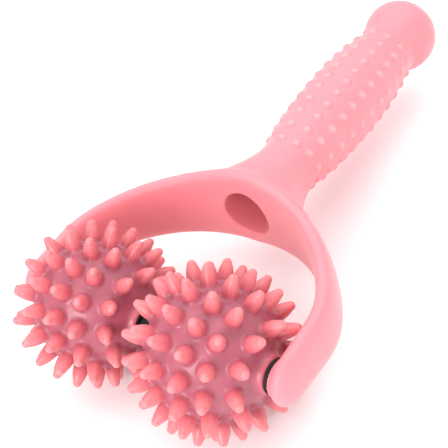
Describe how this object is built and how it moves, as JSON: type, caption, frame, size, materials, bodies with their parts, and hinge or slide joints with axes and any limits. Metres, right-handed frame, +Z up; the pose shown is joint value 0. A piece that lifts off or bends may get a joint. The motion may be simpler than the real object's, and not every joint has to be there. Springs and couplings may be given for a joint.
{
  "type": "hand roller massager",
  "caption": "Hand roller massager: a yoke with a nubbed grip holds soft spiked balls that spin freely side by side on one axle.",
  "frame": {"origin": "on the surface that the balls stand on, under the middle of the object's length and width, with the handle level", "axes": "+X along the axle from the left ball to the right ball, +Y along the handle away from the balls, +Z up"},
  "size_m": [0.1388, 0.2572, 0.0695],
  "materials": {
    "handle_plastic": "smooth matte moulded pink",
    "ball_vinyl": "soft satin vinyl, coral pink",
    "black_plastic": "moulded black nylon",
    "axle_steel": "plain drawn steel"
  },
  "bodies": {
    "frame": {"handle_frame": "handle_plastic", "axle_rod": "axle_steel", "centre_spacer": "black_plastic", "left_arm_washer": "black_plastic", "right_arm_washer": "black_plastic"},
    "left_ball": {"left_spiked_ball": "ball_vinyl", "left_hub_outer": "black_plastic", "left_hub_inner": "black_plastic"},
    "right_ball": {"right_spiked_ball": "ball_vinyl", "right_hub_outer": "black_plastic", "right_hub_inner": "black_plastic"}
  },
  "joints": [
    {"name": "left_ball_spin", "type": "hinge", "parent": "frame", "child": "left_ball", "pos_m": [-0.031, -0.09385, 0.035], "axis": [1, 0, 0], "continuous": true},
    {"name": "right_ball_spin", "type": "hinge", "parent": "frame", "child": "right_ball", "pos_m": [0.031, -0.09385, 0.035], "axis": [1, 0, 0], "continuous": true}
  ]
}
